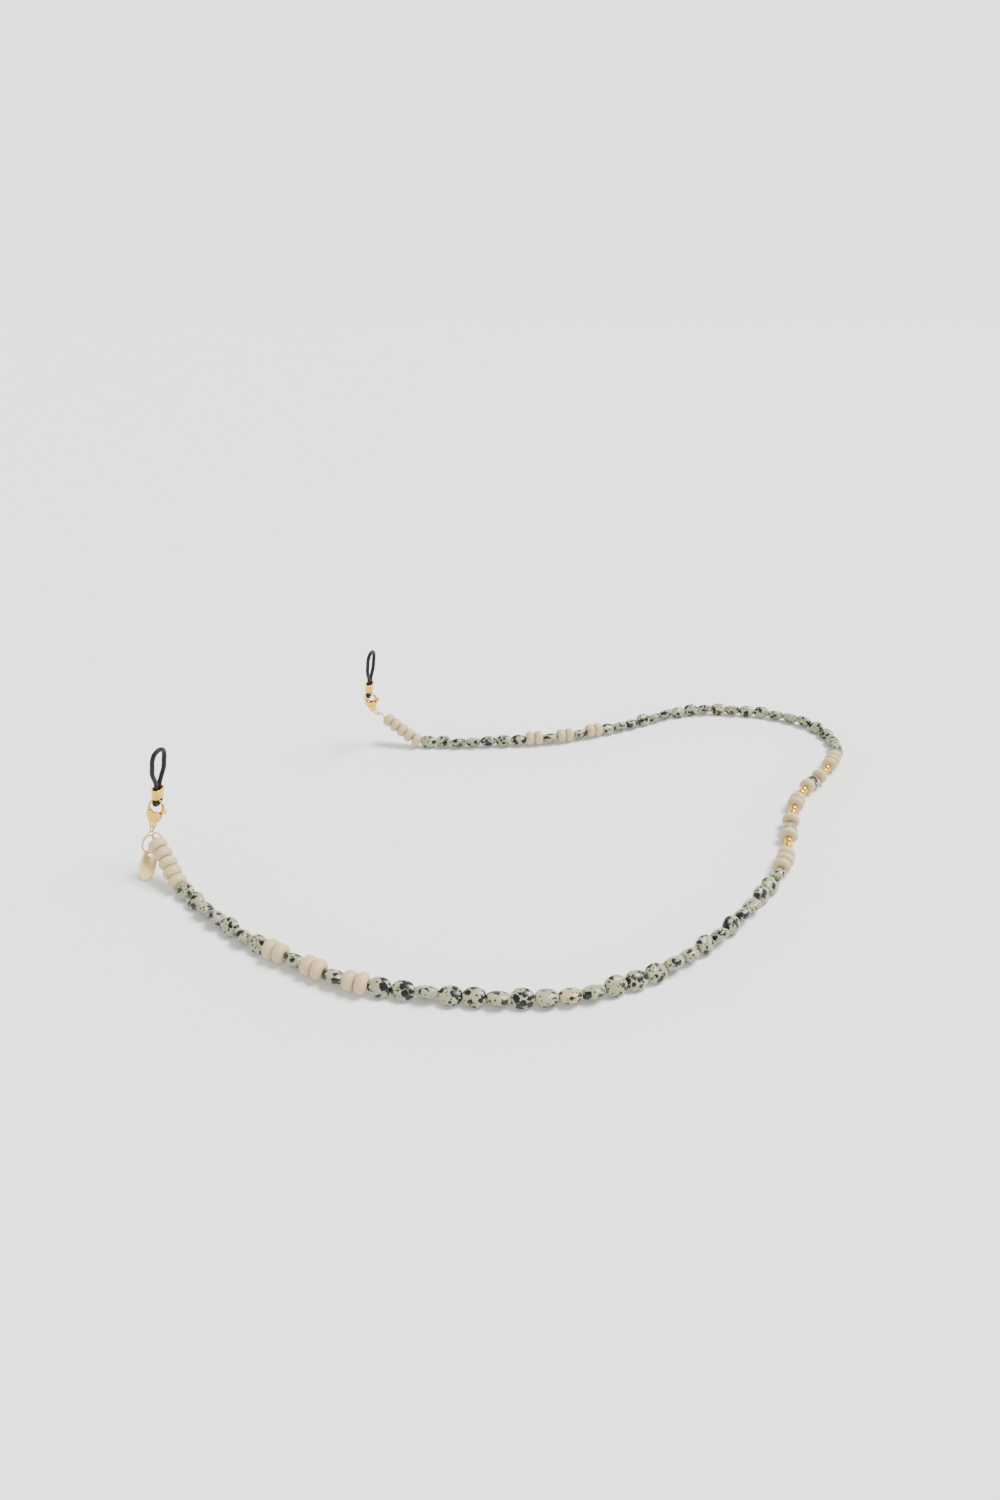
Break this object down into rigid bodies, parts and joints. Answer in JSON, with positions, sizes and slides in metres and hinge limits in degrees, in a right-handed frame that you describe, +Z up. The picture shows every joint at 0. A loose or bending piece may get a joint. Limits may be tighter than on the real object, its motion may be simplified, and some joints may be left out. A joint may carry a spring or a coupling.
{
  "type": "eyeglass retainer strap",
  "caption": "Beaded eyewear strap: spotted flat oval stones, cream rondelles and gold spacers on wire, with a lobster clasp and black rubber temple loop at each end.",
  "frame": {"origin": "inside top of the near temple loop, where the temple bears on the rubber; the strap lies on a surface 52 mm below it", "axes": "+X back along the temples, from the loops towards the temple tips; +Y from the near loop towards the far one; +Z up"},
  "size_m": [0.2794, 0.2671, 0.0537],
  "materials": {
    "stones": "polished pale grey-green stone with dark spots",
    "cream_beads": "matte cream beige, faintly mottled",
    "gold_beads": "polished gold plate",
    "gold_fittings": "polished gold plate",
    "tag": "satin champagne gold plate",
    "rubber_cord": "matte black elastic rubber",
    "wire": "nylon-coated beading wire",
    "spring_steel": "plain spring wire"
  },
  "bodies": {
    "strand": {"cream_beads_01": "cream_beads", "stone_beads_02": "stones", "stone_beads_03": "stones", "cream_beads_04": "cream_beads", "stone_beads_05": "stones", "cream_beads_06": "cream_beads", "stone_beads_07": "stones", "cream_beads_08": "cream_beads", "stone_beads_09": "stones", "stone_beads_10": "stones", "stone_beads_11": "stones", "stone_beads_12": "stones", "stone_beads_13": "stones", "cream_beads_14": "cream_beads", "gold_beads_15": "gold_beads", "cream_beads_16": "cream_beads", "stone_beads_17": "stones", "cream_beads_18": "cream_beads", "gold_beads_19": "gold_beads", "cream_beads_20": "cream_beads", "gold_beads_21": "gold_beads", "cream_beads_22": "cream_beads", "stone_beads_23": "stones", "cream_beads_24": "cream_beads", "gold_beads_25": "gold_beads", "cream_beads_26": "cream_beads", "stone_beads_27": "stones", "stone_beads_28": "stones", "stone_beads_29": "stones", "stone_beads_30": "stones", "stone_beads_31": "stones", "cream_beads_32": "cream_beads", "stone_beads_33": "stones", "cream_beads_34": "cream_beads", "stone_beads_35": "stones", "cream_beads_36": "cream_beads", "stone_beads_37": "stones", "stone_beads_38": "stones", "cream_beads_39": "cream_beads", "beading_wire": "wire", "near_crimp": "gold_fittings", "far_crimp": "gold_fittings"},
    "near_ring": {"near_end_ring": "gold_fittings"},
    "near_clasp": {"near_clasp_body": "gold_fittings", "near_trigger_pin": "gold_fittings", "near_trigger_spring": "spring_steel"},
    "near_trigger_lever": {"near_trigger": "gold_fittings"},
    "near_loop": {"near_rubber_loop": "rubber_cord"},
    "near_slide": {"near_sleeve": "gold_fittings"},
    "far_ring": {"far_end_ring": "gold_fittings"},
    "far_clasp": {"far_clasp_body": "gold_fittings", "far_trigger_pin": "gold_fittings", "far_trigger_spring": "spring_steel"},
    "far_trigger_lever": {"far_trigger": "gold_fittings"},
    "far_loop": {"far_rubber_loop": "rubber_cord"},
    "far_slide": {"far_sleeve": "gold_fittings"},
    "tag_ring_link": {"tag_ring": "tag"},
    "tag_plate": {"tag": "tag"}
  },
  "joints": [
    {"name": "near_ring_swing", "type": "hinge", "parent": "strand", "child": "near_ring", "pos_m": [-0.00764, -0.00576, -0.03575], "axis": [-0.3197, 0.8783, -0.3555], "range_deg": [-20, 10]},
    {"name": "near_clasp_swing", "type": "hinge", "parent": "near_ring", "child": "near_clasp", "pos_m": [-0.00721, -0.00428, -0.03249], "axis": [-0.3197, 0.8783, -0.3555], "range_deg": [-20, 20]},
    {"name": "near_trigger_turn", "type": "hinge", "parent": "near_clasp", "child": "near_trigger_lever", "pos_m": [-0.00585, -0.00258, -0.02952], "axis": [0.3197, -0.8783, 0.3555], "range_deg": [0, 10], "stiffness_Nm_per_rad": 0.02, "springref_deg": -11.46},
    {"name": "near_loop_swing", "type": "hinge", "parent": "near_clasp", "child": "near_loop", "pos_m": [-0.00596, 0, -0.02304], "axis": [0.9399, 0.2465, -0.2363], "range_deg": [-20, 20]},
    {"name": "near_sleeve_slide", "type": "slide", "parent": "near_loop", "child": "near_slide", "axis": [0.2504, 0, 0.9681], "range_m": [0, 0.0015]},
    {"name": "far_ring_swing", "type": "hinge", "parent": "strand", "child": "far_ring", "pos_m": [0.03237, 0.1249, -0.0359], "axis": [-0.2712, 0.9457, 0.1792], "range_deg": [-20, 20]},
    {"name": "far_clasp_swing", "type": "hinge", "parent": "far_ring", "child": "far_clasp", "pos_m": [0.03001, 0.12376, -0.03344], "axis": [-0.2712, 0.9457, 0.1792], "range_deg": [-20, 20]},
    {"name": "far_trigger_turn", "type": "hinge", "parent": "far_clasp", "child": "far_trigger_lever", "pos_m": [0.03067, 0.12328, -0.02992], "axis": [0.2712, -0.9457, -0.1792], "range_deg": [0, 10], "stiffness_Nm_per_rad": 0.02, "springref_deg": -11.46},
    {"name": "far_loop_swing", "type": "hinge", "parent": "far_clasp", "child": "far_loop", "pos_m": [0.02936, 0.12165, -0.02327], "axis": [0.9612, 0.2564, 0.1014], "range_deg": [-20, 20]},
    {"name": "far_sleeve_slide", "type": "slide", "parent": "far_loop", "child": "far_slide", "axis": [0.1822, -0.1028, 0.9779], "range_m": [0, 0.0015]},
    {"name": "tag_ring_swing", "type": "hinge", "parent": "strand", "child": "tag_ring_link", "pos_m": [-0.00575, -0.00603, -0.03495], "axis": [0.7701, -0.4748, -0.4261], "range_deg": [-10, 10]},
    {"name": "tag_swing", "type": "hinge", "parent": "tag_ring_link", "child": "tag_plate", "pos_m": [-0.00679, -0.00947, -0.04276], "axis": [0.9457, -0.3247, 0.018], "range_deg": [-5, 15]}
  ]
}
